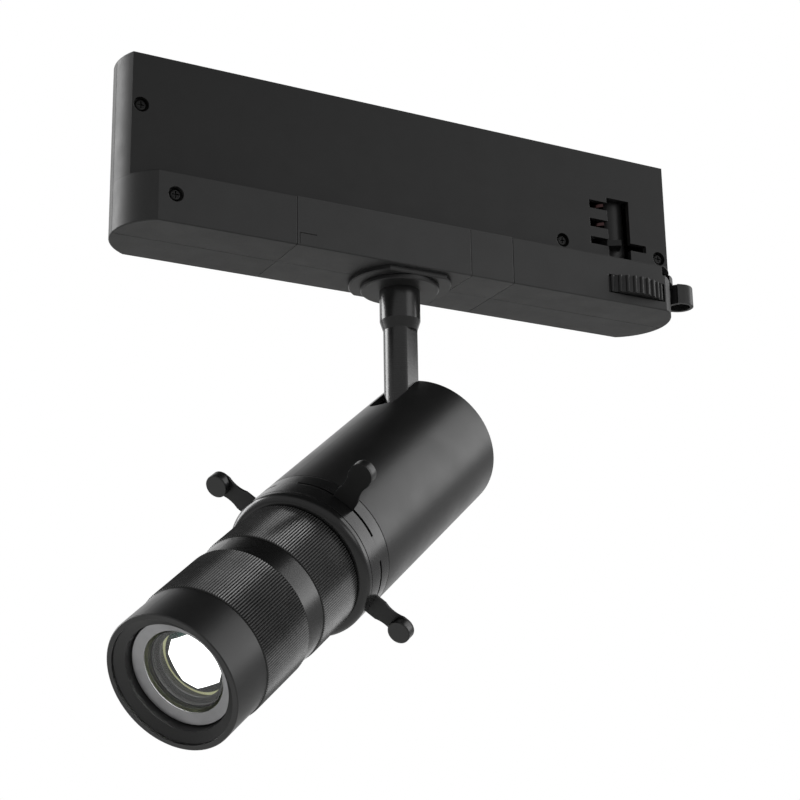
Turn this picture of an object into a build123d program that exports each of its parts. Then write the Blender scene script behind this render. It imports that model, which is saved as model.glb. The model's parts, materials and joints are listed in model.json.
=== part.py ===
from build123d import *
import math
import os

os.makedirs("parts", exist_ok=True)

# A track-mounted framing projector. Millimetres, +Z up.
# The origin is the centre of the adapter's top face, X runs along the adapter.

# ---- adapter case -------------------------------------------------------
ADAPTER_LENGTH = 223.3        # over the two curved ends
END_RADIUS = 20.0             # plan radius of the curved ends
SKIRT_WIDTH = 34.4            # wide lower part, hides the track's mouth
SKIRT_HEIGHT = 17.9
BODY_HEIGHT = 62.9            # skirt and tongue together
TONGUE_WIDTH = 19.3           # upper part, goes into the track channel
WALL = 2.0
EDGE_FILLET = 0.5
SEAM_GAP = 0.24               # hairline between neighbouring covers
COVER_LEFT = -51.8            # seams that cut the skirt into three
COVER_RIGHT = 16.7
INSERT_RIGHT = 34.3
NOTCH_WIDTH = 6.6             # small lug outlined on the centre cover
NOTCH_INSET = 0.8
NOTCH_HEIGHT = 4.2
NOTCH_LINE = 0.35

# ---- case screws: x, z, and whether the screw is in the skirt ----------
CASE_SCREWS = ((-105.9, -19.0, False), (61.3, -38.5, False),
               (105.2, -38.6, False), (-95.7, -52.7, True))
SCREW_HEAD_RADIUS = 2.1
SCREW_HEAD_HEIGHT = 1.6
SCREW_HEAD_DOME = 0.7
SCREW_SHANK_RADIUS = 1.45
SCREW_LENGTH = 13.0
SCREW_RECESS_RADIUS = 2.7
SCREW_RECESS_DEPTH = 2.2
SCREW_BOSS_RADIUS = 3.6
SHANK_CLEARANCE = 0.15
THREAD_CLEARANCE = 0.02

# ---- selector wheel and contact drum -----------------------------------
DRUM_X = 88.5                 # axis of the wheel and drum
DRUM_RADIUS = 6.2
DRUM_TOP = -15.6
WHEEL_RADIUS = 21.0
WHEEL_RIBS = 44
RIB_RADIUS = 0.75
WHEEL_TOP = -52.6
WHEEL_THICKNESS = 6.5
WELL_CLEARANCE = 0.35         # around the wheel, all ways
SPINDLE_RADIUS = 3.0
SPINDLE_LENGTH = 2.0
SPINDLE_CLEARANCE = 0.06
DRUM_WINDOW_LEFT = 6.4        # window edges, from the drum's axis
DRUM_WINDOW_RIGHT = 3.7
REAR_WINDOW_RIGHT = 1.5       # the rear window is narrower on this side
DRUM_WINDOW_TOP = -17.4
BLADE_LEVELS = (-21.2, -28.8)
BLADE_SLOT_HEIGHT = 3.3
BLADE_THICKNESS = 1.2
BLADE_RADIUS = 13.2
BLADE_HALF_ANGLE = 16.0
BLADE_ROOT = 4.2
BLADE_FIT = 0.03
BLADE_ANGLE = -146.0          # where the front blades point at rest
KEY_LEVEL = -36.0
KEY_THICKNESS = 2.3
KEY_RADIUS = 12.0
KEY_TIP_ANGLE = -100.0
KEY_BACK_ANGLE = -152.0
KEY_BACK_RADIUS = 9.0
SLOT_LEFT = 14.5              # slot reach each way from the drum's axis
SLOT_RIGHT = 10.9
REAR_SLOT_REACH = 11.2        # rear slots end here on the blades' side
KEY_SLOT_HEIGHT = 2.9

# ---- end latch ----------------------------------------------------------
LATCH_X = 101.5
LATCH_PIN_RADIUS = 1.5
LATCH_HUB_RADIUS = 4.4
LATCH_CLEARANCE = 0.06
LATCH_PLATE_RADIUS = 13.5
LATCH_PLATE_ANGLE = -45.0
LATCH_PLATE_HALF_ANGLE = 15.0
LATCH_PLATE_TOP = -45.6
LATCH_PLATE_THICKNESS = 2.9
LEVER_ANGLE = -12.0
LEVER_ARM_TOP = -48.9
LEVER_ARM_THICKNESS = 2.8
LEVER_ARM_WIDTH = 5.0
LEVER_TAB_INNER = 14.3
LEVER_TAB_OUTER = 22.6
LEVER_TAB_WIDTH = 10.6
LEVER_TAB_TOP = -46.6
LEVER_TAB_HEIGHT = 8.0
LEVER_TAB_WALL = 1.3
LATCH_TRAVEL = 30.0
LATCH_GAP = 0.3
LATCH_SHELF_BOTTOM = -44.9
LATCH_SHELF_THICKNESS = 2.5

# ---- driver inside the tongue ------------------------------------------
BOARD_THICKNESS = 1.6
BOARD_LEFT = -98.0
BOARD_RIGHT = 56.0
BOARD_TOP = -5.0
BOARD_BOTTOM = -46.5
BOARD_GAP = 0.15

# ---- swivel under the adapter ------------------------------------------
STEM_X = -3.45
PLATE_RADIUS = 18.5
PLATE_FLAT = 14.6             # half width over the plate's flats
PLATE_THICKNESS = 1.9
DISC_RADIUS = 14.1
DISC_THICKNESS = 1.6
SWIVEL_GAP = 0.1
NECK_RADIUS = 6.5
NECK_TOP = -46.6
BUSH_RADIUS = 12.5
BUSH_TOP = -53.0
NUT_FLATS = 17.0
NUT_THICKNESS = 4.6
WASHER_THICKNESS = 0.9
WASHER_RADIUS = 9.5
RUNNING_CLEARANCE = 0.05
STEM_HEAD_RADIUS = 7.3
STEM_HEAD_BOTTOM = -77.9
STEM_CONE_BOTTOM = -81.6
STEM_RADIUS = 6.1
STEM_FLAT = 5.1               # half thickness over the stem's flats
WIRE_BORE_RADIUS = 1.9

# ---- head: pose of its axis and main sizes ------------------------------
TILT_Z = -132.6
HEAD_AZIMUTH = -152.38        # compass of the beam from +X, towards +Y
HEAD_ELEVATION = -36.19
HEAD_RADIUS = 25.1
HEAD_WALL = 1.8
HEAD_REAR = -21.9             # distances along the beam from the tilt pin
HOUSING_FRONT = 60.05
SLOT_HALF_WIDTH = 5.5
SLOT_FRONT = 0.5
SLOT_BELOW = 6.9
REAR_CAP_THICKNESS = 2.5
PIN_RADIUS = 2.5
EAR_RADIUS = 7.4
EAR_INNER = 5.4
EAR_THICKNESS = 3.0
CLEVIS_BASE_REAR = 9.2
CLEVIS_BASE_THICKNESS = 2.8
CLEVIS_BASE_RADIUS = 14.0
FRICTION_WASHER_RADIUS = 6.6
FRICTION_WASHER_GAP = 0.04
PIN_HEAD_RADIUS = 4.4
PIN_HEAD_HEIGHT = 2.2

# ---- light engine -------------------------------------------------------
SINK_BASE_THICKNESS = 5.0
SINK_FIN_LENGTH = 17.0
SINK_FINS = 9
SINK_FIN_PITCH = 4.9
SINK_FIN_THICKNESS = 1.3
FIT_GAP = 0.05
LED_BOARD_RADIUS = 14.0
LED_BOARD_THICKNESS = 1.6
LED_CHIP_RADIUS = 6.5
LED_CHIP_THICKNESS = 1.0
LED_SCREW_CIRCLE = 10.8
CONDENSER_RADIUS = 15.0
CONDENSER_EDGE = 3.0
CONDENSER_CROWN = 6.0
CONDENSER_REAR = 42.0
HOLDER_RADIUS = 22.0
HOLDER_WALL = 2.0
HOLDER_FRONT = 53.5

# ---- gate: two rings with the slits of the framing shutters -------------
SLIT_CENTRE = 65.7
SLIT_WIDTH = 1.0
SLIT_HALF_ANGLE = 35.5
SLIT_ANGLES = (41.5, -48.5, -138.5, 131.5)
GATE_INNER = 22.8
GATE_FLOOR = 63.4
GATE_ROOF = 68.0
GATE_PLATE_THICKNESS = 1.8
GATE_APERTURE = 9.0
GATE_FRONT_BORE = 14.5
SPIGOT_REAR = 54.0
SPIGOT_BORE = 20.5
RING_GROOVE = 0.35
GROOVE_AT = 71.6
BEAD_FRONT = 76.0
BEAD_STEP_RADIUS = 22.3

# ---- framing shutters ---------------------------------------------------
LEVER_LAG = 3.5               # levers rest this many degrees off slit centre
SHUTTER_LAYERS = (0.5, -0.5, 1.1, -1.1)
BLADE_SHEET = 0.3
ARM_SHEET = 0.8
ARM_WIDTH = 7.7
ARM_WAIST_WIDTH = 6.2        # across the hollow sides, halfway along the lever
ARM_WAIST_AT = 32.0
ARM_WAIST_RADIUS = 9.0
ARM_NECK_WIDTH = 5.0
ARM_NECK_INNER = 14.5
ARM_NECK_OUTER = 19.6
BLADE_EDGE = 7.8
BLADE_BACK_RADIUS = 17.9
BLADE_HALF_WIDTH = 10.5
KNOB_AT = 37.3
KNOB_RADIUS = 3.85
KNOB_HEIGHT = 2.8
SHOE_INNER = 19.7
SHOE_HALF_ANGLE = 16.0
SHOE_GAP = 0.1
ARM_CLEARANCE = 0.06

# ---- lens barrel and rings ---------------------------------------------
BARREL_RADIUS = 20.4
BARREL_BORE = 18.6
BARREL_FRONT = 134.0
BAND_RADIUS = 21.95           # polished band between the two grips
BAND_REAR = 97.6
BAND_FRONT = 106.5
GRIP_RADIUS = 22.4
GRIP_TEETH = 165
GRIP_TOOTH_DEPTH = 0.4
GRIP_GAP = 0.2
CAP_RADIUS = 21.95
CAP_REAR = 130.8
CAP_FRONT = 146.9
CAP_FLANGE_BORE = 12.1        # tube behind the front lens, which seats it
CAP_DISH = 1.1                # step behind the rim
CAP_FACE_FALL = 1.6           # the face then falls this far to the bore
CAP_BORE = 17.3
CAP_RIM = 20.2
BEZEL_FRONT = 141.4
BEZEL_SLOPE = 0.8
BEZEL_BORE = 13.3
FRONT_LENS_RADIUS = 14.3
FRONT_LENS_REAR = 137.2
FRONT_LENS_THICKNESS = 3.0
LENS_BEVEL_DEPTH = 0.7        # ground bevel inside the bezel's bore
LENS_CLEAR_RADIUS = 12.45
CARRIER_CLEARANCE = 0.08
ZOOM_CARRIER = (84.0, 96.0)
ZOOM_LENS_RADIUS = 15.6
FOCUS_CARRIER = (118.0, 130.0)
FOCUS_NOSE_FRONT = 135.4
FOCUS_NOSE_RADIUS = 13.4
FOCUS_LIP_BORE = 10.6
FOCUS_LENS_RADIUS = 11.9
KEYWAY_WIDTH = 3.0
KEY_PIN_RADIUS = 1.45
KEYWAY_SPARE = 3.0
KEYWAY_OVERCUT = 0.5          # into the band, which closes the slot's top
ZOOM_TRAVEL = 7.0
FOCUS_TRAVEL = 9.0

# ---- derived places -----------------------------------------------------
SKIRT_TOP = SKIRT_HEIGHT - BODY_HEIGHT
END_CENTRE = ADAPTER_LENGTH / 2 - END_RADIUS
WHEEL_BOTTOM = WHEEL_TOP - WHEEL_THICKNESS
WELL_RADIUS = WHEEL_RADIUS + WELL_CLEARANCE
PLATE_BOTTOM = -BODY_HEIGHT - PLATE_THICKNESS
DISC_TOP = PLATE_BOTTOM - SWIVEL_GAP
DISC_BOTTOM = DISC_TOP - DISC_THICKNESS
HEAD_INNER = HEAD_RADIUS - HEAD_WALL
SINK_REAR = CLEVIS_BASE_REAR + CLEVIS_BASE_THICKNESS
SINK_BASE_REAR = SINK_REAR + SINK_FIN_LENGTH
LED_REAR = SINK_BASE_REAR + SINK_BASE_THICKNESS
GRIP_INNER = BARREL_RADIUS + RUNNING_CLEARANCE
LEVER_ANGLES = tuple(angle - LEVER_LAG for angle in SLIT_ANGLES)

STANDING = Align.CENTER, Align.CENTER, Align.MIN


def unit(azimuth, elevation):
    """Direction of the beam for a compass angle and a height angle."""
    a = math.radians(azimuth)
    e = math.radians(elevation)
    return Vector(math.cos(e) * math.cos(a), math.cos(e) * math.sin(a), math.sin(e))


BEAM = unit(HEAD_AZIMUTH, HEAD_ELEVATION)
HEAD_UP = unit(HEAD_AZIMUTH, HEAD_ELEVATION + 90.0)
HEAD_PLANE = Plane(origin=(STEM_X, 0, TILT_Z), x_dir=HEAD_UP, z_dir=BEAM)


def in_head(shape):
    """Moves a shape from the head's own axes (x up, z along the beam)."""
    return HEAD_PLANE.location * shape


def save(node, *shapes):
    """Writes one node; several solids stay separate inside it."""
    solids = []
    for shape in shapes:
        solids.extend(shape.solids())
    export_step(Compound(children=solids) if len(solids) > 1 else solids[0],
                f"parts/{node}.step")


def rod(radius, bottom, top, x=0.0, y=0.0):
    """Cylinder along Z between two heights."""
    return Pos(x, y, bottom) * Cylinder(radius, top - bottom, align=STANDING)


def tube(outer, inner, bottom, top, x=0.0, y=0.0):
    return rod(outer, bottom, top, x, y) - rod(inner, bottom - 1, top + 1, x, y)


def slab(x0, x1, y0, y1, z0, z1):
    """Box between two corners."""
    return Pos((x0 + x1) / 2, (y0 + y1) / 2, (z0 + z1) / 2) * Box(x1 - x0, y1 - y0, z1 - z0)


def sector(inner, outer, middle, half_angle, bottom, top):
    """Ring sector about Z, centred on the angle `middle` in degrees."""
    a0 = math.radians(middle - half_angle)
    a1 = math.radians(middle + half_angle)
    am = math.radians(middle)

    def at(radius, angle):
        return (radius * math.cos(angle), radius * math.sin(angle))

    edges = ThreePointArc(at(outer, a0), at(outer, am), at(outer, a1))
    edges += Line(at(outer, a1), at(inner, a1))
    edges += ThreePointArc(at(inner, a1), at(inner, am), at(inner, a0))
    edges += Line(at(inner, a0), at(outer, a0))
    return Pos(0, 0, bottom) * extrude(make_face(edges), top - bottom)


def turned(points):
    """Solid of revolution about Z from (radius, height) points."""
    face = make_face(Polyline(*[(r, 0, z) for r, z in points], close=True))
    return revolve(face, Axis.Z)


# ---- adapter ------------------------------------------------------------

def case_prism(width, inset, bottom, top):
    """Adapter outline of one width, taken in all round by `inset`."""
    outline = SlotCenterToCenter(2 * END_CENTRE, 2 * (END_RADIUS - inset))
    outline &= Rectangle(ADAPTER_LENGTH, width - 2 * inset)
    return Pos(0, 0, bottom) * extrude(outline, top - bottom)


def boss_half_depth(in_skirt):
    return (SKIRT_WIDTH if in_skirt else TONGUE_WIDTH) / 2


def along_y(shape, x, y, z):
    """Turns a shape modelled along +Z so that it runs along +Y."""
    return Pos(x, y, z) * Rot(-90, 0, 0) * shape


def case_bosses():
    bosses = []
    for x, z, in_skirt in CASE_SCREWS:
        depth = boss_half_depth(in_skirt) - WALL / 2
        bosses.append(along_y(rod(SCREW_BOSS_RADIUS, -depth, depth), x, 0, z))
    return bosses


def drum_openings(reach, window_right):
    """Window and slots in the front wall, from the drum's axis."""
    face = -TONGUE_WIDTH / 2
    y0, y1 = face - 1, face + WALL + 0.5
    cuts = [slab(-DRUM_WINDOW_LEFT, window_right, y0, y1, SKIRT_TOP, DRUM_WINDOW_TOP)]
    for level in BLADE_LEVELS:
        cuts.append(slab(-reach, 0, y0, y1,
                         level - BLADE_SLOT_HEIGHT / 2, level + BLADE_SLOT_HEIGHT / 2))
    cuts.append(slab(-reach, SLOT_RIGHT, y0, y1,
                     KEY_LEVEL - KEY_SLOT_HEIGHT / 2, KEY_LEVEL + KEY_SLOT_HEIGHT / 2))
    return cuts


def adapter_case():
    """Whole hollow case, before it is split into covers."""
    outer = case_prism(SKIRT_WIDTH, 0, -BODY_HEIGHT, SKIRT_TOP)
    outer = fillet(outer.edges().group_by(Axis.Z)[0], EDGE_FILLET)
    outer += case_prism(TONGUE_WIDTH, 0, SKIRT_TOP, 0)
    inner = case_prism(SKIRT_WIDTH, WALL, -BODY_HEIGHT + WALL, SKIRT_TOP - WALL)
    inner += case_prism(TONGUE_WIDTH, WALL, SKIRT_TOP - WALL, -WALL)
    case = outer - inner
    for boss in case_bosses():
        case += boss
    # bearing rib for the top of the contact drum
    rib = slab(DRUM_X - 9, DRUM_X + 9, -TONGUE_WIDTH / 2 + 1, TONGUE_WIDTH / 2 - 1,
               DRUM_TOP + 0.2, DRUM_TOP + 2.4)
    case += rib
    # shelf that holds the end latch's pin
    shelf_top = LATCH_SHELF_BOTTOM + LATCH_SHELF_THICKNESS
    case += slab(LATCH_X - 5, LATCH_X + 4, -TONGUE_WIDTH / 2 + 1, TONGUE_WIDTH / 2 - 1,
                 LATCH_SHELF_BOTTOM, shelf_top)
    case -= rod(LATCH_PIN_RADIUS + THREAD_CLEARANCE, LATCH_SHELF_BOTTOM - 1, shelf_top + 0.2, LATCH_X)
    spindle = SPINDLE_RADIUS + SPINDLE_CLEARANCE
    case -= rod(spindle, DRUM_TOP, DRUM_TOP + 3, DRUM_X)
    case -= rod(spindle, -BODY_HEIGHT + 0.6, WHEEL_BOTTOM, DRUM_X)
    # wheel well: it breaks through both long sides as the wheel's windows
    case -= rod(WELL_RADIUS, WHEEL_BOTTOM - WELL_CLEARANCE, WHEEL_TOP + WELL_CLEARANCE, DRUM_X)
    for cut in drum_openings(SLOT_LEFT, DRUM_WINDOW_RIGHT):
        case -= Pos(DRUM_X, 0, 0) * cut
    for cut in drum_openings(REAR_SLOT_REACH, REAR_WINDOW_RIGHT):
        case -= Pos(DRUM_X, 0, 0) * Rot(0, 0, 180) * cut
    # slots that the end latch swings through
    sweep = LATCH_TRAVEL / 2
    case -= Pos(LATCH_X, 0, 0) * sector(
        LATCH_HUB_RADIUS, LATCH_PLATE_RADIUS + 6, LATCH_PLATE_ANGLE - sweep,
        LATCH_PLATE_HALF_ANGLE + sweep + 3,
        LATCH_PLATE_TOP - LATCH_PLATE_THICKNESS - LATCH_GAP, LATCH_PLATE_TOP + LATCH_GAP)
    wall_distance = ADAPTER_LENGTH / 2 - WALL - LATCH_X
    arm_half = math.degrees(math.asin(LEVER_ARM_WIDTH / 2 / wall_distance))
    case -= Pos(LATCH_X, 0, 0) * sector(
        LATCH_HUB_RADIUS, 24, LEVER_ANGLE - sweep, arm_half + sweep + 2,
        LEVER_ARM_TOP - LEVER_ARM_THICKNESS - LATCH_GAP, LEVER_ARM_TOP + LATCH_GAP)
    # mouth for the swivel
    case -= rod(NECK_RADIUS + 0.4, -BODY_HEIGHT - 1, -BODY_HEIGHT + WALL + 1, STEM_X)
    for x, z, in_skirt in CASE_SCREWS:
        face = -boss_half_depth(in_skirt)
        case -= along_y(rod(SCREW_RECESS_RADIUS, -1, SCREW_RECESS_DEPTH), x, face, z)
        case -= along_y(rod(SCREW_SHANK_RADIUS + SHANK_CLEARANCE, 0, -face), x, face, z)
        case -= along_y(rod(SCREW_SHANK_RADIUS + THREAD_CLEARANCE, 0, SCREW_LENGTH),
                        x, face + SCREW_RECESS_DEPTH, z)
    return case


def notch_line():
    """Shallow engraved corner of the small lug on the centre cover."""
    x0 = COVER_LEFT + NOTCH_INSET
    x1 = x0 + NOTCH_WIDTH
    z0 = -BODY_HEIGHT + 0.6
    z1 = z0 + NOTCH_HEIGHT
    y = -SKIRT_WIDTH / 2
    line = slab(x0, x1, y - 1, y + NOTCH_LINE, z1 - NOTCH_LINE, z1)
    return line + slab(x0, x0 + NOTCH_LINE, y - 1, y + NOTCH_LINE, z0, z1)


def adapter_covers():
    case = adapter_case()
    skirt_zone = SKIRT_TOP
    whole = 2 * ADAPTER_LENGTH
    centre = slab(COVER_LEFT + SEAM_GAP / 2, COVER_RIGHT - SEAM_GAP / 2,
                  -whole, whole, -BODY_HEIGHT - 1, skirt_zone)
    insert = slab(COVER_RIGHT + SEAM_GAP / 2, INSERT_RIGHT - SEAM_GAP / 2,
                  -whole, whole, -BODY_HEIGHT - 1, skirt_zone)
    middle = slab(COVER_LEFT - SEAM_GAP / 2, INSERT_RIGHT + SEAM_GAP / 2,
                  -whole, whole, -BODY_HEIGHT - 1, skirt_zone)
    sides = {"front": slab(-whole, whole, -whole, -SEAM_GAP / 2, -whole, whole),
             "rear": slab(-whole, whole, SEAM_GAP / 2, whole, -whole, whole)}
    inserts = []
    for side, half in sides.items():
        save(f"adapter_{side}_shell", (case & half) - middle)
        cover = case & half & centre
        if side == "front":
            cover -= notch_line()
        save(f"centre_cover_{side}", cover)
        inserts.append(case & half & insert)
    save("latch_inserts", *inserts)


def case_screws():
    screws = []
    for x, z, in_skirt in CASE_SCREWS:
        face = -boss_half_depth(in_skirt)
        head = rod(SCREW_HEAD_RADIUS, 0, SCREW_HEAD_HEIGHT)
        head = fillet(head.edges().group_by(Axis.Z)[0], SCREW_HEAD_DOME)
        slot = Box(2.6, 0.6, 1.7) + Box(0.6, 2.6, 1.7)
        screw = head - slot
        screw += rod(SCREW_SHANK_RADIUS, SCREW_HEAD_HEIGHT, SCREW_LENGTH)
        seat = face + SCREW_RECESS_DEPTH - SCREW_HEAD_HEIGHT
        screws.append(along_y(screw, x, seat, z))
    save("case_screws", *screws)


def driver():
    """Circuit board and the large parts on it, inside the tongue."""
    wall = TONGUE_WIDTH / 2 - WALL
    back = wall - BOARD_GAP
    face = back - BOARD_THICKNESS
    board = slab(BOARD_LEFT, BOARD_RIGHT, face, back, BOARD_BOTTOM, BOARD_TOP)
    save("driver_board", board)
    coil = slab(-34, -10, -wall + 0.4, face, -32, -10)
    coil = fillet(coil.edges().filter_by(Axis.Y), 1.5)
    core = slab(-38, -6, -wall + 1.6, face, -25, -17) - slab(-34, -10, -wall, face + 1, -32, -10)
    save("transformer", coil, core)
    cans = []
    for x in (-88.0, -74.0):
        can = rod(5.6, -wall + 0.5, face)
        can = chamfer(can.edges().group_by(Axis.Z)[0], 0.6)
        cans.append(along_y(can, x, 0, -20))
    save("capacitors", *cans)
    block = slab(36, 52, face - 9, face, -44, -34)
    for x in (40, 48):
        block -= along_y(rod(1.6, -1, 4), x, face - 9, -39)
    save("terminal_block", block)
    springs = []
    for level in BLADE_LEVELS:
        springs.append(slab(BOARD_RIGHT - 4, DRUM_X - BLADE_RADIUS - 1.2, face - 0.7, face - 0.1,
                            level - 1.6, level + 1.6))
    save("line_springs", *springs)


# ---- selector -----------------------------------------------------------

def key_profile():
    def at(radius, angle):
        a = math.radians(angle)
        return (radius * math.cos(a), radius * math.sin(a))

    points = [(0, 0), at(KEY_BACK_RADIUS, KEY_BACK_ANGLE),
              at((KEY_RADIUS + KEY_BACK_RADIUS) / 2 + 0.8, (KEY_TIP_ANGLE + KEY_BACK_ANGLE) / 2),
              at(KEY_RADIUS, KEY_TIP_ANGLE), at(DRUM_RADIUS, KEY_TIP_ANGLE + 18)]
    return extrude(make_face(Polyline(*points, close=True)), KEY_THICKNESS)


def selector():
    wheel = Circle(WHEEL_RADIUS - RIB_RADIUS)
    for spot in PolarLocations(WHEEL_RADIUS - RIB_RADIUS, WHEEL_RIBS):
        wheel += spot * Circle(RIB_RADIUS)
    wheel = Pos(DRUM_X, 0, WHEEL_BOTTOM) * extrude(wheel, WHEEL_THICKNESS)
    floor_stub = rod(SPINDLE_RADIUS, -BODY_HEIGHT + 0.9, WHEEL_BOTTOM, DRUM_X)
    save("selector_wheel", wheel + floor_stub)
    drum = rod(DRUM_RADIUS, WHEEL_TOP, DRUM_TOP)
    drum += rod(SPINDLE_RADIUS, DRUM_TOP, DRUM_TOP + SPINDLE_LENGTH)
    key = Pos(0, 0, KEY_LEVEL - KEY_THICKNESS / 2) * key_profile()
    drum += key
    drum += Rot(0, 0, 180) * key
    blades = []
    for level in BLADE_LEVELS:
        low = level - BLADE_THICKNESS / 2
        high = level + BLADE_THICKNESS / 2
        for angle in (BLADE_ANGLE, BLADE_ANGLE + 180):
            blade = sector(BLADE_ROOT, BLADE_RADIUS, angle, BLADE_HALF_ANGLE, low, high)
            pocket = sector(BLADE_ROOT - BLADE_FIT, BLADE_RADIUS, angle,
                            BLADE_HALF_ANGLE + 0.4, low - BLADE_FIT, high + BLADE_FIT)
            drum -= pocket
            blades.append(Pos(DRUM_X, 0, 0) * blade)
    save("contact_drum", Pos(DRUM_X, 0, 0) * drum)
    save("contact_blades", *blades)


def latch():
    hub_bottom = LEVER_ARM_TOP - LEVER_ARM_THICKNESS
    bore = LATCH_PIN_RADIUS + LATCH_CLEARANCE
    lever = rod(LATCH_HUB_RADIUS, hub_bottom, LEVER_ARM_TOP)
    lever += slab(0, LEVER_TAB_INNER + 1, -LEVER_ARM_WIDTH / 2, LEVER_ARM_WIDTH / 2,
                  hub_bottom, LEVER_ARM_TOP)
    bottom = LEVER_TAB_TOP - LEVER_TAB_HEIGHT
    half = LEVER_TAB_WIDTH / 2
    nose = LEVER_TAB_OUTER - half
    tab = slab(LEVER_TAB_INNER, nose, -half, half, bottom, LEVER_TAB_TOP)
    tab += rod(half, bottom, LEVER_TAB_TOP, nose)
    tab = fillet(tab.edges().group_by(Axis.Z)[-1], 0.8)
    inner = half - LEVER_TAB_WALL
    hollow = slab(LEVER_TAB_INNER + LEVER_TAB_WALL, nose, -inner, inner, bottom - 1, LEVER_ARM_TOP
                  - LEVER_ARM_THICKNESS)
    hollow += rod(inner, bottom - 1, hub_bottom, nose)
    lever += tab - hollow
    lever -= rod(bore, -80, 0)
    place = Pos(LATCH_X, 0, 0) * Rot(0, 0, LEVER_ANGLE)
    save("latch_lever", place * lever)
    low = LATCH_PLATE_TOP - LATCH_PLATE_THICKNESS
    plate = rod(LATCH_HUB_RADIUS, low, LATCH_PLATE_TOP)
    plate += sector(LATCH_HUB_RADIUS - 1, LATCH_PLATE_RADIUS, LATCH_PLATE_ANGLE,
                    LATCH_PLATE_HALF_ANGLE, low, LATCH_PLATE_TOP)
    plate -= rod(bore, -80, 0)
    save("latch_plate", Pos(LATCH_X, 0, 0) * plate)
    save("latch_pin", rod(LATCH_PIN_RADIUS, WHEEL_TOP + WELL_CLEARANCE + 0.1,
                          LATCH_SHELF_BOTTOM + LATCH_SHELF_THICKNESS, LATCH_X))


# ---- swivel and stem ----------------------------------------------------

def swivel():
    hole = NECK_RADIUS + RUNNING_CLEARANCE
    plate = rod(PLATE_RADIUS, PLATE_BOTTOM, -BODY_HEIGHT, STEM_X)
    plate &= slab(-PLATE_RADIUS * 2, PLATE_RADIUS * 2, -PLATE_FLAT, PLATE_FLAT, -80, 0)
    plate = chamfer(plate.edges().group_by(Axis.Z)[0], 0.4)
    save("swivel_plate", plate - rod(hole, -80, 0, STEM_X))
    bush = rod(BUSH_RADIUS, -BODY_HEIGHT + WALL, BUSH_TOP, STEM_X)
    save("swivel_bush", bush - rod(hole, -80, 0, STEM_X))
    disc = rod(DISC_RADIUS, DISC_BOTTOM, DISC_TOP, STEM_X)
    disc = chamfer(disc.edges().group_by(Axis.Z)[0], 0.4)
    save("swivel_disc", disc - rod(NECK_RADIUS + THREAD_CLEARANCE, -80, 0, STEM_X))
    washer_low = BUSH_TOP + RUNNING_CLEARANCE
    washer_high = washer_low + WASHER_THICKNESS
    save("swivel_washer", tube(WASHER_RADIUS, NECK_RADIUS + THREAD_CLEARANCE,
                               washer_low, washer_high, STEM_X))
    nut = extrude(RegularPolygon(NUT_FLATS / 2, 6, major_radius=False), NUT_THICKNESS)
    nut = Pos(STEM_X, 0, washer_high) * nut
    save("swivel_nut", nut - rod(NECK_RADIUS + THREAD_CLEARANCE, -80, 0, STEM_X))


def across_head(shape):
    """Turns a shape modelled along +Z so that it runs along the tilt pin."""
    return HEAD_PLANE.location * Rot(-90, 0, 0) * shape


def stem():
    body = rod(NECK_RADIUS, DISC_BOTTOM, NECK_TOP)
    body += turned([(0, DISC_BOTTOM), (STEM_HEAD_RADIUS, DISC_BOTTOM),
                    (STEM_HEAD_RADIUS, STEM_HEAD_BOTTOM), (STEM_RADIUS, STEM_CONE_BOTTOM),
                    (0, STEM_CONE_BOTTOM)])
    shank = rod(STEM_RADIUS, TILT_Z, STEM_CONE_BOTTOM)
    flats = Rot(0, 0, HEAD_AZIMUTH) * Box(40, 2 * STEM_FLAT, 400)
    body += shank & flats
    body = Pos(STEM_X, 0, 0) * body
    body += across_head(rod(STEM_RADIUS, -STEM_FLAT, STEM_FLAT))
    body -= rod(WIRE_BORE_RADIUS, TILT_Z + 5, NECK_TOP + 1, STEM_X)
    body -= across_head(rod(PIN_RADIUS + RUNNING_CLEARANCE, -20, 20))
    save("stem", body)


# ---- head ---------------------------------------------------------------

def housing():
    shell = tube(HEAD_RADIUS, HEAD_INNER, HEAD_REAR, HOUSING_FRONT)
    shell = chamfer(shell.edges().group_by(Axis.Z)[0].sort_by(SortBy.LENGTH)[-1], 0.5)
    slot_end = SLOT_FRONT - SLOT_HALF_WIDTH
    shell -= slab(0, HEAD_RADIUS + 5, -SLOT_HALF_WIDTH, SLOT_HALF_WIDTH, HEAD_REAR - 1, slot_end)
    shell -= Pos(0, 0, slot_end) * Rot(0, 90, 0) * rod(SLOT_HALF_WIDTH, 0, HEAD_RADIUS + 5)
    save("head_housing", in_head(shell))
    cap = rod(HEAD_INNER - FIT_GAP, HEAD_REAR + 0.4, HEAD_REAR + 0.4 + REAR_CAP_THICKNESS)
    cap -= slab(-SLOT_BELOW, HEAD_RADIUS + 5, -SLOT_HALF_WIDTH, SLOT_HALF_WIDTH, -40, 0)
    screws = []
    for side in (-1, 1):
        cap -= rod(1.7, -40, 0, -12, side * 12)
        head = rod(2.6, HEAD_REAR - 1.0, HEAD_REAR + 0.4, -12, side * 12)
        head -= Pos(-12, side * 12, HEAD_REAR - 1.0) * Box(3.2, 0.7, 1.4)
        screws.append(in_head(head + rod(1.6, HEAD_REAR + 0.4, HEAD_REAR + 5, -12, side * 12)))
    save("rear_cap", in_head(cap))
    return screws


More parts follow.
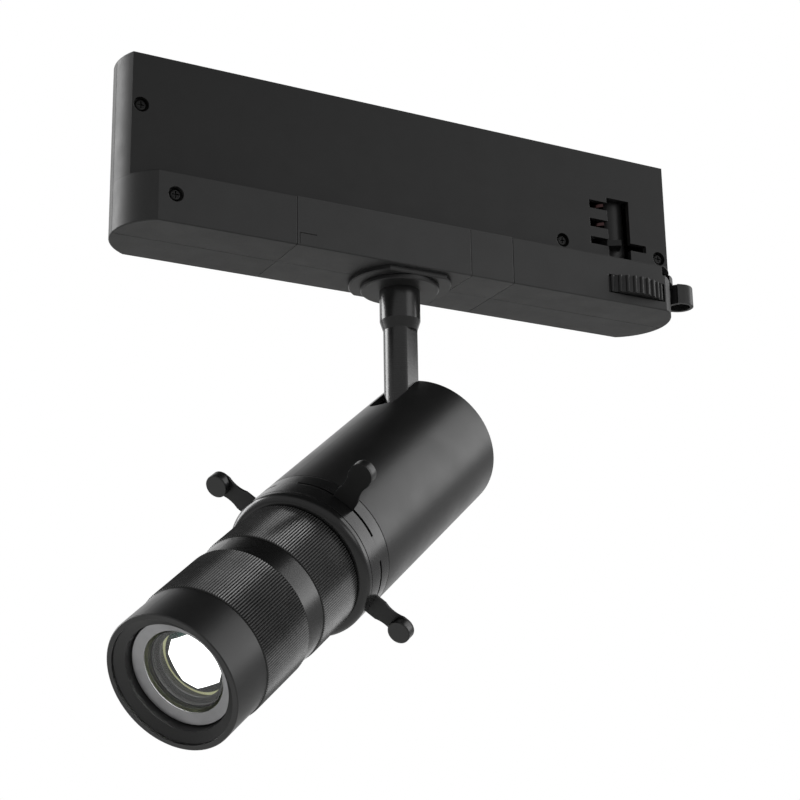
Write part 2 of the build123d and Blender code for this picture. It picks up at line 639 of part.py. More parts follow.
def tilt_joint():
    base = rod(CLEVIS_BASE_RADIUS, CLEVIS_BASE_REAR, SINK_REAR)
    for side in (-1, 1):
        y0 = side * EAR_INNER
        y1 = side * (EAR_INNER + EAR_THICKNESS)
        low, high = min(y0, y1), max(y0, y1)
        ear = Rot(-90, 0, 0) * rod(EAR_RADIUS, low, high)
        ear += slab(-EAR_RADIUS, EAR_RADIUS, low, high, 0, SINK_REAR)
        base += ear
    base -= Rot(-90, 0, 0) * rod(PIN_RADIUS + THREAD_CLEARANCE, -20, 20)
    save("tilt_clevis", in_head(base))
    reach = EAR_INNER + EAR_THICKNESS
    pin = rod(PIN_RADIUS, -reach - 2, reach)
    pin += rod(PIN_HEAD_RADIUS, reach, reach + PIN_HEAD_HEIGHT)
    save("tilt_pin", across_head(pin))
    clip = tube(PIN_HEAD_RADIUS, PIN_RADIUS + THREAD_CLEARANCE, -reach - 1.2, -reach)
    save("tilt_pin_clip", across_head(clip))
    washers = []
    for side in (-1, 1):
        y0 = side * (STEM_FLAT + FRICTION_WASHER_GAP)
        y1 = side * (EAR_INNER - THREAD_CLEARANCE)
        washers.append(across_head(tube(FRICTION_WASHER_RADIUS, PIN_RADIUS + THREAD_CLEARANCE,
                                        min(y0, y1), max(y0, y1))))
    save("friction_washers", *washers)


def light_engine():
    sink = rod(HEAD_INNER - FIT_GAP, SINK_BASE_REAR, LED_REAR)
    for index in range(SINK_FINS):
        y = (index - (SINK_FINS - 1) / 2) * SINK_FIN_PITCH
        fin = slab(-40, 40, y - SINK_FIN_THICKNESS / 2, y + SINK_FIN_THICKNESS / 2,
                   SINK_REAR, SINK_BASE_REAR)
        sink += fin & rod(HEAD_INNER - 0.5, SINK_REAR, SINK_BASE_REAR)
    save("heat_sink", in_head(sink))
    board = rod(LED_BOARD_RADIUS, LED_REAR, LED_REAR + LED_BOARD_THICKNESS)
    screws = []
    for side in (-1, 1):
        x = side * LED_SCREW_CIRCLE
        board -= rod(1.3, LED_REAR - 1, LED_REAR + 5, x)
        screws.append(in_head(rod(2.2, LED_REAR + LED_BOARD_THICKNESS,
                                  LED_REAR + LED_BOARD_THICKNESS + 1.4, x)
                              + rod(1.2, LED_REAR, LED_REAR + LED_BOARD_THICKNESS, x)))
    save("led_board", in_head(board))
    top = LED_REAR + LED_BOARD_THICKNESS
    save("led_emitter", in_head(rod(LED_CHIP_RADIUS, top, top + LED_CHIP_THICKNESS)))
    seat = CONDENSER_REAR
    holder = tube(HOLDER_RADIUS, HOLDER_RADIUS - HOLDER_WALL, LED_REAR, HOLDER_FRONT)
    holder += tube(HOLDER_RADIUS, CONDENSER_RADIUS - 1.2, seat - 1.6, seat)
    holder += tube(HOLDER_RADIUS, CONDENSER_RADIUS + FIT_GAP, seat, seat + CONDENSER_EDGE)
    save("condenser_holder", in_head(holder))
    save("condenser_lens", in_head(plano_convex(CONDENSER_RADIUS, seat, CONDENSER_EDGE,
                                                CONDENSER_CROWN)))
    return screws


def plano_convex(radius, rear, edge, crown):
    """Lens with a flat rear face and a domed front."""
    rim = rear + edge
    top = rim + crown
    arc = ThreePointArc((radius, 0, rim), (radius * 0.53, 0, dome(radius, crown, 0.53) + rim),
                        (0, 0, top))
    outline = Polyline((0, 0, top), (0, 0, rear), (radius, 0, rear), (radius, 0, rim)) + arc
    return revolve(make_face(outline), Axis.Z)


def dome(radius, crown, share):
    """Height of a spherical dome at a share of its radius."""
    ball = (radius * radius + crown * crown) / (2 * crown)
    return math.sqrt(ball * ball - (radius * share) ** 2) - (ball - crown)


def slit_cuts(bottom, top):
    return [sector(GATE_INNER - 1, HEAD_RADIUS + 2, angle, SLIT_HALF_ANGLE, bottom, top)
            for angle in SLIT_ANGLES]


def gate():
    low = SLIT_CENTRE - SLIT_WIDTH / 2
    high = SLIT_CENTRE + SLIT_WIDTH / 2
    rear = tube(HEAD_RADIUS, GATE_INNER, HOUSING_FRONT + RING_GROOVE, SLIT_CENTRE)
    rear += tube(HEAD_RADIUS - RING_GROOVE, GATE_INNER, HOUSING_FRONT, HOUSING_FRONT + RING_GROOVE)
    rear += tube(GATE_INNER + 0.5, GATE_APERTURE + 5, GATE_FLOOR - GATE_PLATE_THICKNESS, GATE_FLOOR)
    rear += tube(HEAD_INNER - FIT_GAP, SPIGOT_BORE, SPIGOT_REAR, HOUSING_FRONT + 1.5)
    for cut in slit_cuts(low, SLIT_CENTRE + 1):
        rear -= cut
    save("gate_ring_rear", in_head(rear))
    plate = tube(GATE_APERTURE + 5 + 3, GATE_APERTURE, GATE_FLOOR - GATE_PLATE_THICKNESS - 0.5,
                 GATE_FLOOR - GATE_PLATE_THICKNESS)
    save("gate_plate", in_head(plate))
    front = tube(HEAD_RADIUS, GATE_INNER, SLIT_CENTRE, GROOVE_AT)
    front += tube(GATE_INNER + 0.5, GATE_FRONT_BORE, GATE_ROOF, GATE_ROOF + GATE_PLATE_THICKNESS)
    seat = GATE_ROOF + GATE_PLATE_THICKNESS
    inner = BARREL_RADIUS + FIT_GAP
    front += tube(HEAD_RADIUS - RING_GROOVE, inner, seat, GROOVE_AT + RING_GROOVE)
    rise = HEAD_RADIUS - BEAD_STEP_RADIUS
    start = GROOVE_AT + RING_GROOVE
    middle = (HEAD_RADIUS - rise * (1 - math.sqrt(0.5)), BEAD_FRONT - rise * (1 - math.sqrt(0.5)))
    arc = ThreePointArc((HEAD_RADIUS, 0, BEAD_FRONT - rise), (middle[0], 0, middle[1]),
                        (BEAD_STEP_RADIUS, 0, BEAD_FRONT))
    outline = Polyline((BEAD_STEP_RADIUS, 0, BEAD_FRONT), (inner, 0, BEAD_FRONT), (inner, 0, start),
                       (HEAD_RADIUS, 0, start), (HEAD_RADIUS, 0, BEAD_FRONT - rise)) + arc
    front += revolve(make_face(outline), Axis.Z)
    for cut in slit_cuts(SLIT_CENTRE - 1, high):
        front -= cut
    save("gate_ring_front", in_head(front))


# ---- framing shutters ---------------------------------------------------

def shutter(index):
    """One framing shutter: blade and lever, knob, and the shoe it slides in."""
    turn = Rot(0, 0, LEVER_ANGLES[index])
    layer = SHUTTER_LAYERS[index]
    arm_low = SLIT_CENTRE - ARM_SHEET / 2
    arm_high = SLIT_CENTRE + ARM_SHEET / 2
    arm = slab(ARM_NECK_INNER, ARM_NECK_OUTER, -ARM_NECK_WIDTH / 2, ARM_NECK_WIDTH / 2,
               arm_low, arm_high)
    arm += slab(ARM_NECK_OUTER, KNOB_AT, -ARM_WIDTH / 2, ARM_WIDTH / 2, arm_low, arm_high)
    arm += rod(ARM_WIDTH / 2, arm_low, arm_high, KNOB_AT)
    hollow = ARM_WAIST_WIDTH / 2 + ARM_WAIST_RADIUS
    arm -= rod(ARM_WAIST_RADIUS, arm_low - 1, arm_high + 1, ARM_WAIST_AT, hollow)
    arm -= rod(ARM_WAIST_RADIUS, arm_low - 1, arm_high + 1, ARM_WAIST_AT, -hollow)
    blade = rod(BLADE_BACK_RADIUS, 0, BLADE_SHEET)
    blade &= slab(BLADE_EDGE, BLADE_BACK_RADIUS, -BLADE_HALF_WIDTH, BLADE_HALF_WIDTH, 0, BLADE_SHEET)
    if layer > 0:
        blade_low = SLIT_CENTRE + layer
        pad = (arm_high - 0.1, blade_low + 0.1)
        knob = (arm_high, arm_high + KNOB_HEIGHT)
    else:
        blade_low = SLIT_CENTRE + layer - BLADE_SHEET
        pad = (blade_low + BLADE_SHEET - 0.1, arm_low + 0.1)
        knob = (arm_low - KNOB_HEIGHT, arm_low)
    arm += Pos(0, 0, blade_low) * blade
    arm += slab(ARM_NECK_INNER, BLADE_BACK_RADIUS - 0.4, -ARM_NECK_WIDTH / 2, ARM_NECK_WIDTH / 2, *pad)
    save(f"shutter_{index + 1}_blade", in_head(turn * arm))
    grip = rod(KNOB_RADIUS, *knob, KNOB_AT)
    outer_end = 1 if layer > 0 else 0
    grip = fillet(grip.edges().group_by(Axis.Z)[-outer_end], 0.4)
    save(f"shutter_{index + 1}_knob", in_head(turn * grip))
    shoe = sector(SHOE_INNER, GATE_INNER - SHOE_GAP, 0, SHOE_HALF_ANGLE,
                  GATE_FLOOR + SHOE_GAP, GATE_ROOF - SHOE_GAP)
    half = ARM_WIDTH / 2 + ARM_CLEARANCE
    shoe -= slab(SHOE_INNER - 5, GATE_INNER + 5, -half, half,
                 arm_low - ARM_CLEARANCE, arm_high + ARM_CLEARANCE)
    save(f"shutter_{index + 1}_shoe", in_head(turn * shoe))


# ---- barrel and lens groups ---------------------------------------------

def keyway(span, travel_back, travel_on):
    """Straight slots in the barrel for the key pins of one carrier."""
    middle = (span[0] + span[1]) / 2
    low = middle - travel_back - KEYWAY_SPARE
    high = middle + travel_on + KEYWAY_SPARE
    return slab(BARREL_BORE - 1, BARREL_RADIUS + KEYWAY_OVERCUT,
                -KEYWAY_WIDTH / 2, KEYWAY_WIDTH / 2, low, high)


def barrel():
    rear = GATE_ROOF + GATE_PLATE_THICKNESS
    body = tube(BARREL_RADIUS, BARREL_BORE, rear, BARREL_FRONT)
    body += tube(BAND_RADIUS, BARREL_BORE, BAND_REAR, BAND_FRONT)
    for angle in (0, 120, 240):
        body -= Rot(0, 0, angle) * keyway(ZOOM_CARRIER, ZOOM_TRAVEL, ZOOM_TRAVEL)
        body -= Rot(0, 0, angle) * keyway(FOCUS_CARRIER, FOCUS_TRAVEL, 0)
    save("lens_barrel", in_head(body))


def grip_sleeve(rear, front):
    """Straight-knurled grip: triangular teeth round a thin sleeve."""
    step = 2 * math.pi / GRIP_TEETH
    root = GRIP_RADIUS - GRIP_TOOTH_DEPTH
    points = []
    for tooth in range(GRIP_TEETH):
        for radius, part in ((GRIP_RADIUS, 0.0), (root, 0.5)):
            angle = (tooth + part) * step
            points.append((radius * math.cos(angle), radius * math.sin(angle)))
    profile = make_face(Polyline(*points, close=True)) - Circle(GRIP_INNER)
    sleeve = Pos(0, 0, rear) * extrude(profile, front - rear)
    bevel = turned([(0, rear), (root - 0.1, rear), (GRIP_RADIUS + 0.1, rear + 0.5),
                    (GRIP_RADIUS + 0.1, front - 0.5), (root - 0.1, front), (0, front)])
    return sleeve & bevel


def carrier_pins(span):
    middle = (span[0] + span[1]) / 2
    outer = BARREL_RADIUS - 0.1
    pin = Pos(0, 0, middle) * Rot(0, 90, 0) * rod(KEY_PIN_RADIUS, BARREL_BORE - 3, outer)
    return [Rot(0, 0, angle) * pin for angle in (0, 120, 240)]


def lens_groups():
    zoom = grip_sleeve(BEAD_FRONT + GRIP_GAP, BAND_REAR - GRIP_GAP)
    save("zoom_ring", in_head(zoom))
    outer = BARREL_BORE - CARRIER_CLEARANCE
    rear, front = ZOOM_CARRIER
    carrier = tube(outer, ZOOM_LENS_RADIUS + FIT_GAP, rear, front)
    carrier += tube(ZOOM_LENS_RADIUS + 1, ZOOM_LENS_RADIUS - 1.2, rear, rear + 1.5)
    for pin in carrier_pins(ZOOM_CARRIER):
        carrier += pin - rod(ZOOM_LENS_RADIUS + 1, 0, 200)
    save("zoom_lens_carrier", in_head(carrier))
    save("zoom_lens", in_head(plano_convex(ZOOM_LENS_RADIUS, rear + 1.5, 3.5, 4.0)))
    focus = grip_sleeve(BAND_FRONT + GRIP_GAP, CAP_REAR)
    save("focus_ring", in_head(focus))
    rear, front = FOCUS_CARRIER
    nose_in = FOCUS_LENS_RADIUS + FIT_GAP
    carrier = tube(outer, FOCUS_NOSE_RADIUS, rear, front)
    carrier += tube(FOCUS_NOSE_RADIUS + 1, nose_in, rear, front)
    carrier += tube(FOCUS_NOSE_RADIUS, nose_in, front - 1, FOCUS_NOSE_FRONT)
    carrier += tube(FOCUS_NOSE_RADIUS, FOCUS_LIP_BORE, FOCUS_NOSE_FRONT - 0.6, FOCUS_NOSE_FRONT)
    for pin in carrier_pins(FOCUS_CARRIER):
        carrier += pin - rod(FOCUS_NOSE_RADIUS + 0.5, 0, 200)
    save("focus_lens_carrier", in_head(carrier))
    lens_rear = FOCUS_NOSE_FRONT - 0.65 - 3.0 - 3.2
    save("focus_lens", in_head(plano_convex(FOCUS_LENS_RADIUS, lens_rear, 3.2, 3.0)))


def front_end():
    barrel_room = BARREL_RADIUS + RUNNING_CLEARANCE
    shelf = BARREL_FRONT + 2.0
    bezel_rear = FRONT_LENS_REAR
    dish = CAP_FRONT - CAP_DISH
    cap = turned([(barrel_room, CAP_REAR), (CAP_RADIUS - 0.2, CAP_REAR), (CAP_RADIUS, CAP_REAR + 0.2),
                  (CAP_RADIUS, CAP_FRONT - 0.3), (CAP_RADIUS - 0.3, CAP_FRONT),
                  (CAP_RIM, CAP_FRONT), (CAP_RIM, dish), (CAP_BORE, dish - CAP_FACE_FALL),
                  (CAP_BORE, bezel_rear), (CAP_FLANGE_BORE, bezel_rear),
                  (CAP_FLANGE_BORE, shelf), (barrel_room, shelf)])
    save("front_cap", in_head(cap))
    seat = FRONT_LENS_RADIUS + FIT_GAP
    outer = CAP_BORE - FIT_GAP
    inner_front = BEZEL_FRONT - BEZEL_SLOPE
    lens_front = FRONT_LENS_REAR + FRONT_LENS_THICKNESS
    bezel = turned([(seat, FRONT_LENS_REAR), (outer, FRONT_LENS_REAR), (outer, BEZEL_FRONT - 0.4),
                    (outer - 0.5, BEZEL_FRONT), (BEZEL_BORE, inner_front),
                    (BEZEL_BORE, lens_front + FIT_GAP), (seat, lens_front + FIT_GAP)])
    save("front_bezel", in_head(bezel))
    lens = rod(FRONT_LENS_RADIUS, FRONT_LENS_REAR + 0.02, lens_front)
    lens = chamfer(lens.edges().group_by(Axis.Z)[-1], 0.3)
    clear = lens_front - LENS_BEVEL_DEPTH
    lens -= turned([(0, clear), (LENS_CLEAR_RADIUS, clear), (BEZEL_BORE, lens_front),
                    (BEZEL_BORE, lens_front + 1), (0, lens_front + 1)])
    save("front_lens", in_head(lens))


adapter_covers()
case_screws()
driver()
selector()
latch()
swivel()
stem()
head_screws = housing()
tilt_joint()
head_screws += light_engine()
save("head_screws", *head_screws)
gate()
for number in range(4):
    shutter(number)
barrel()
lens_groups()
front_end()
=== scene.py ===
import json
import math

import bmesh
import bpy
from mathutils import Matrix, Vector


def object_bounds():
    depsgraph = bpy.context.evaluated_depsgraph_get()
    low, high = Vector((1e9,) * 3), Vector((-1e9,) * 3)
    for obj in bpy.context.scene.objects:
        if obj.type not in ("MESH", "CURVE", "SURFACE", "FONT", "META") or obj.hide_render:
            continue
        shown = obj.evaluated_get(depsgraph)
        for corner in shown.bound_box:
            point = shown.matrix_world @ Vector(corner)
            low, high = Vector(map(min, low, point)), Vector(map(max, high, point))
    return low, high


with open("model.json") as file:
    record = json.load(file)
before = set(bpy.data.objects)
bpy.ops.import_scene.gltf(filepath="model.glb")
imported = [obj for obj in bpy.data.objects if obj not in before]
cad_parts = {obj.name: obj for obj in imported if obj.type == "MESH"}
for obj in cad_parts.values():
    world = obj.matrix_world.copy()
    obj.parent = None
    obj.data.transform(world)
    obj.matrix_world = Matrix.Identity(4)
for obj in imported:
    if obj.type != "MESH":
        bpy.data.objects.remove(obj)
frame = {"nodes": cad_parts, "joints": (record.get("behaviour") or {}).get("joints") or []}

CAD_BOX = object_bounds()
MM = 0.001
NODES = frame["nodes"]
JOINTS = {joint["name"]: joint for joint in frame["joints"]}

# The head's own axes: the beam, the tilt axis across it, and up.
PIVOT = Vector(JOINTS["tilt"]["pos_m"])
BEAM = Vector(JOINTS["focus_turn"]["axis"]).normalized()
ACROSS = Vector(JOINTS["tilt"]["axis"]).normalized()
UP = ACROSS.cross(BEAM).normalized()

# Height where the adapter's narrow tongue meets its wide skirt.
SKIRT_TOP = -45.0 * MM
# Most values of a noise texture lie in this span.
NOISE_SPAN = (0.3, 0.7)
# Grain of bead-blasted metal, and pitch of turning lines, anodised and bare.
BLAST_GRAIN = 3400.0
ANODISED_LINES = 0.11 * MM
LATHE_LINES = 0.09 * MM
# What an even tarnish leaves of red, green and blue.
YELLOWED = (0.75, 0.7, 0.62)
# How far inside crest and root of a knurl its painted highlight and painted shade fade, in mm.
KNURL_EASE = 0.08
# Radii of the small roundings that catch light on moulded and on machined edges.
MOULDED_EDGE = 0.22 * MM
MACHINED_EDGE = 0.15 * MM


# ---- shader building ------------------------------------------------------
class Shader:
    """A Principled material and short ways to add its nodes."""

    def __init__(self, name, **values):
        self.material = bpy.data.materials.new(name)
        self.material.use_nodes = True
        self.tree = self.material.node_tree
        self.bsdf = self.tree.nodes["Principled BSDF"]
        for socket, value in values.items():
            self.bsdf.inputs[socket.replace("_", " ")].default_value = value
        self.coords = self.add("ShaderNodeTexCoord").outputs["Object"]

    def add(self, kind, inputs=None, **settings):
        node = self.tree.nodes.new(kind)
        for key, value in settings.items():
            setattr(node, key, value)
        for key, value in (inputs or {}).items():
            if isinstance(value, bpy.types.NodeSocket):
                self.tree.links.new(value, node.inputs[key])
            else:
                node.inputs[key].default_value = value
        return node

    def math(self, operation, a, b=0.0, c=0.0):
        node = self.add("ShaderNodeMath", {0: a, 1: b, 2: c}, operation=operation)
        return node.outputs[0]

    def along(self, axis, origin=(0, 0, 0)):
        """Distance along an axis from a point, in metres."""
        moved = self.vector("SUBTRACT", self.coords, tuple(origin)).outputs[0]
        return self.vector("DOT_PRODUCT", moved, tuple(axis)).outputs["Value"]

    def vector(self, operation, a, b):
        return self.add("ShaderNodeVectorMath", {0: a, 1: b}, operation=operation)

    def from_beam(self):
        """The two distances across the beam's axis, and the radius they make."""
        x = self.along(UP, PIVOT)
        y = self.along(ACROSS, PIVOT)
        squares = self.math("ADD", self.math("MULTIPLY", x, x), self.math("MULTIPLY", y, y))
        return x, y, self.math("SQRT", squares)

    def noise(self, scale, detail=3.0, roughness=0.55, stretch=None):
        source = self.coords
        if stretch:
            mapping = self.add("ShaderNodeMapping", {"Vector": source, "Scale": stretch})
            source = mapping.outputs[0]
        inputs = {"Vector": source, "Scale": scale, "Detail": detail, "Roughness": roughness}
        return self.add("ShaderNodeTexNoise", inputs).outputs["Fac"]

    def turned(self, axis, origin, pitch, detail):
        """Uneven rings round an axis, as a lathe tool leaves them."""
        place = self.math("DIVIDE", self.along(axis, origin), pitch)
        inputs = {"W": place, "Scale": 1.0, "Detail": detail, "Roughness": 0.7}
        return self.add("ShaderNodeTexNoise", inputs, noise_dimensions="1D").outputs["Fac"]

    def ramp(self, value, low, high, a=0.0, b=1.0, **settings):
        inputs = {"Value": value, "From Min": low, "From Max": high, "To Min": a, "To Max": b}
        return self.add("ShaderNodeMapRange", inputs, clamp=True, **settings).outputs["Result"]

    def smooth(self, value, low, high, a=0.0, b=1.0):
        return self.ramp(value, low, high, a, b, interpolation_type="SMOOTHSTEP")

    def mix(self, factor, a, b):
        node = self.add("ShaderNodeMix", data_type="RGBA")
        sockets = {"Factor": node.inputs[0], "A": node.inputs[6], "B": node.inputs[7]}
        for key, value in (("Factor", factor), ("A", a), ("B", b)):
            if isinstance(value, bpy.types.NodeSocket):
                self.tree.links.new(value, sockets[key])
            elif key == "Factor":
                sockets[key].default_value = value
            else:
                sockets[key].default_value = (*value, 1.0)[:4]
        return node.outputs[2]

    def edges(self, radius):
        """About 1 on convex and concave edges, 0 on flats."""
        soft = self.rounded(radius)
        hard = self.add("ShaderNodeNewGeometry").outputs["Normal"]
        flat = self.vector("DOT_PRODUCT", soft, hard).outputs["Value"]
        return self.ramp(flat, 0.995, 0.86)

    def rounded(self, radius):
        """Normals that make sharp edges look rounded to this radius."""
        return self.add("ShaderNodeBevel", {"Radius": radius}, samples=4).outputs[0]

    def bump(self, height, distance, strength, normal=None):
        inputs = {"Height": height, "Distance": distance, "Strength": strength}
        if normal:
            inputs["Normal"] = normal
        return self.add("ShaderNodeBump", inputs).outputs[0]

    def set(self, **sockets):
        for name, value in sockets.items():
            self.tree.links.new(value, self.bsdf.inputs[name.replace("_", " ")])
        return self.material


def grey(level, warm=0.0):
    return (level * (1 + warm), level, level * (1 - warm))


def moulded(name, level, rough, spark=0.4, skirt=None):
    """Spark-eroded moulded plastic: a fine even grain, faint clouding, and glossier edges painted
    lighter, part wear and part painted highlight.

    With a skirt level, the part below the skirt's top gets a lighter base colour, a painted
    sheen; its roughness stays the same.
    """
    m = Shader(name, IOR=1.47)
    cloud = m.noise(38.0, 4.0)
    grain = m.noise(2600.0, 2.0, 0.6)
    wear_and_highlight = m.edges(0.45 * MM)
    colour = m.mix(cloud, grey(level * 0.86), grey(level * 1.16, -0.01))
    if skirt:
        height = m.along((0, 0, 1))
        lower = m.smooth(height, SKIRT_TOP - 0.2 * MM, SKIRT_TOP - 0.4 * MM)
        # Painted sheen: below the skirt's top the colour is a lighter copy of the same plastic.
        painted_skirt_sheen = m.mix(cloud, grey(skirt * 0.86), grey(skirt * 1.16, -0.01))
        colour = m.mix(lower, colour, painted_skirt_sheen)
    # Edges painted lighter: part wear, part painted highlight.
    colour = m.mix(m.math("MULTIPLY", wear_and_highlight, 0.5), colour, grey(level * 2.6))
    base = m.ramp(m.noise(110.0, 3.0), *NOISE_SPAN, rough - 0.035, rough + 0.035)
    fine = m.math("MULTIPLY_ADD", m.ramp(grain, *NOISE_SPAN), 0.06, base)
    gloss = m.math("MULTIPLY_ADD", wear_and_highlight, -0.12, fine)
    normal = m.bump(grain, 0.02 * MM, spark, m.rounded(MOULDED_EDGE))
    return m.set(Base_Color=colour, Roughness=gloss, Normal=normal)


def anodised(name, level, rough, axis=None, origin=(0, 0, 0), metal=0.0, lines=0.35, ior=1.6):
    """Bead-blasted aluminium under black anodising.

    With an axis, it is turned aluminium instead, with lathe marks running round the axis.
    """
    m = Shader(name, Metallic=metal, IOR=ior)
    cloud = m.noise(55.0, 3.0)
    grain = m.noise(BLAST_GRAIN, 2.0, 0.7)
    wear_and_highlight = m.edges(0.3 * MM)
    colour = m.mix(cloud, grey(level * 0.88), grey(level * 1.12, -0.015))
    # Edges painted lighter: part wear, part painted highlight.
    colour = m.mix(m.math("MULTIPLY", wear_and_highlight, 0.35), colour, grey(level * 3.0))
    base = m.ramp(m.noise(85.0, 4.0), *NOISE_SPAN, rough - 0.03, rough + 0.03)
    gloss = m.math("MULTIPLY_ADD", wear_and_highlight, -0.08, base)
    height = m.math("MULTIPLY", grain, 0.6)
    if axis:
        turned = m.turned(axis, origin, ANODISED_LINES, 2.0)
        height = m.math("MULTIPLY_ADD", turned, lines, height)
        gloss = m.math("MULTIPLY_ADD", m.ramp(turned, *NOISE_SPAN, -0.5, 0.5), 0.05, gloss)
    normal = m.bump(height, 0.012 * MM, 0.5, m.rounded(MACHINED_EDGE))
    return m.set(Base_Color=colour, Roughness=gloss, Normal=normal)


def knurled(name, level, rough, crest, root):
    """Black anodised straight knurl: the cut crests are painted bright, a painted highlight that
    is partly wear, and the roots are painted dark as shade in the grooves.
    """
    m = Shader(name, Metallic=0.35, IOR=1.7)
    r = m.from_beam()[2]
    high = m.smooth(r, (root + KNURL_EASE) * MM, (crest - KNURL_EASE) * MM)
    wear_and_highlight = m.math("MULTIPLY", high, m.ramp(m.noise(90.0, 3.0), 0.25, 0.6, 0.55, 1.0))
    # Painted highlight on the crests, partly wear, and painted shade in the roots.
    colour = m.mix(wear_and_highlight, grey(level * 0.6), grey(level * 13.0))
    gloss = m.ramp(m.noise(700.0, 3.0), *NOISE_SPAN, rough - 0.04, rough + 0.04)
    normal = m.bump(m.noise(BLAST_GRAIN, 2.0, 0.7), 0.008 * MM, 0.4)
    return m.set(Base_Color=colour, Roughness=gloss, Normal=normal)


def bare_metal(name, colour, rough, axis=None, origin=(0, 0, 0), tarnish=YELLOWED):
    """Machined or rolled metal with fine lines and a faint uneven tarnish."""
    m = Shader(name, Metallic=1.0)
    if axis:
        line = m.turned(axis, origin, LATHE_LINES, 3.0)
    else:
        line = m.noise(900.0, 4.0, 0.7, stretch=(1.0, 8.0, 1.0))
    patch = m.noise(140.0, 4.0)
    dulled = tuple(c * t for c, t in zip(colour, tarnish))
    shade = m.mix(m.ramp(patch, 0.42, 0.68), colour, dulled)
    gloss = m.ramp(m.math("ADD", line, patch), 0.7, 1.3, rough - 0.06, rough + 0.08)
    return m.set(Base_Color=shade, Roughness=gloss, Normal=m.bump(line, 0.01 * MM, 0.35))


def moulding_resin(name, colour, rough, spread=0.08):
    """Glossy or satin engineering plastic, such as acetal, nylon or a terminal body."""
    m = Shader(name, IOR=1.5)
    cloud = m.noise(210.0, 3.0)
    low = tuple(c * (1 - spread) for c in colour)
    high = tuple(min(1.0, c * (1 + spread)) for c in colour)
    gloss = m.ramp(m.noise(600.0, 3.0), *NOISE_SPAN, rough - 0.05, rough + 0.05)
    return m.set(Base_Color=m.mix(cloud, low, high), Roughness=gloss,
                 Normal=m.bump(m.noise(1500.0, 2.0), 0.01 * MM, 0.3))


def recessed_screw(name, level):
    """Black oxide steel: mottled, a little oily, with its edges in the drive painted bright, part
    rubbed wear and part painted highlight.
    """
    m = Shader(name, Metallic=0.85)
    blot = m.noise(900.0, 4.0, 0.7)
    wear_and_highlight = m.edges(0.18 * MM)
    oxide = m.mix(blot, grey(level * 0.7), grey(level * 1.5))
    # Edges painted bright: part rubbed wear, part painted highlight.
    colour = m.mix(m.math("MULTIPLY", wear_and_highlight, 0.55), oxide, grey(0.22))
    return m.set(Base_Color=colour, Roughness=m.ramp(blot, *NOISE_SPAN, 0.24, 0.4),
                 Normal=m.bump(blot, 0.01 * MM, 0.4))


def board(name):
    """Green solder mask with the faint weave of the glass cloth and copper tracks under it."""
    m = Shader(name, IOR=1.55, Coat_Weight=0.35, Coat_Roughness=0.2)
    cloth = {"Vector": m.coords, "Scale": 1600.0}
    weave = m.add("ShaderNodeTexChecker", cloth).outputs["Fac"]
    layout = {"Vector": m.coords, "Scale": 130.0, "Mortar Size": 0.03}
    tracks = m.add("ShaderNodeTexBrick", layout).outputs["Fac"]
    green = m.mix(m.noise(70.0, 3.0), (0.008, 0.07, 0.025), (0.014, 0.10, 0.035))
    colour = m.mix(m.math("MULTIPLY", tracks, 0.6), green, (0.03, 0.18, 0.06))
    height = m.math("MULTIPLY_ADD", weave, 0.2, tracks)
    return m.set(Base_Color=colour, Roughness=m.ramp(m.noise(300.0), *NOISE_SPAN, 0.3, 0.42),
                 Normal=m.bump(height, 0.02 * MM, 0.5))


def coil(name):
    """Amber winding tape with overlapped turns and dark ferrite showing between."""
    m = Shader(name, IOR=1.5, Coat_Weight=0.4, Coat_Roughness=0.12)
    winding = {"Vector": m.coords, "Scale": 320.0, "Distortion": 0.6, "Detail": 2.0}
    turns = m.add("ShaderNodeTexWave", winding, bands_direction="X").outputs["Fac"]
    colour = m.mix(m.ramp(turns, 0.2, 0.8), (0.30, 0.14, 0.015), (0.46, 0.26, 0.03))
    return m.set(Base_Color=colour, Roughness=m.ramp(m.noise(400.0), *NOISE_SPAN, 0.26, 0.4),
                 Normal=m.bump(turns, 0.06 * MM, 0.5))


def glass(name, tint, rim, inner, outer):
    """A lens. Its ground rim is tinted, and its polished face carries a faint coating."""
    m = Shader(name, IOR=1.5, Transmission_Weight=1.0)
    r = m.from_beam()[2]
    ground = m.smooth(r, inner * MM, outer * MM)
    smear = m.noise(160.0, 3.0)
    clearer = tuple(min(1, c * 1.02) for c in tint)
    colour = m.mix(ground, m.mix(smear, tint, clearer), rim)
    rough = m.math("MULTIPLY_ADD", ground, 0.38, m.ramp(smear, 0.45, 0.75, 0.0, 0.02))
    return m.set(Base_Color=colour, Roughness=rough)


def emitter(name):
    """Yellow phosphor over a grid of chips, lit."""
    m = Shader(name, IOR=1.45, Emission_Strength=14.0)
    chips = {"Vector": m.coords, "Scale": 900.0}
    cells = m.add("ShaderNodeTexVoronoi", chips).outputs["Distance"]
    warm = m.mix(m.ramp(cells, 0.0, 0.6), (1.0, 0.86, 0.55), (1.0, 0.78, 0.38))
    gloss = m.ramp(cells, 0.0, 0.6, 0.35, 0.5)
    return m.set(Base_Color=warm, Emission_Color=warm, Roughness=gloss)


# Sides of the lit gate's patch: direction in degrees, and distance from the beam in mm.
GATE_SIDES = ((8.0, 8.3), (52.0, 8.9), (97.0, 8.1), (141.0, 9.0),
              (188.0, 8.2), (232.0, 8.8), (277.0, 8.2), (322.0, 8.9))

# The lens is ground outside its clear part, between these radii in mm.
GROUND_RIM = (10.5, 10.8)
# The painted glints face this way, in degrees.
GLINT_SIDE = -35.0


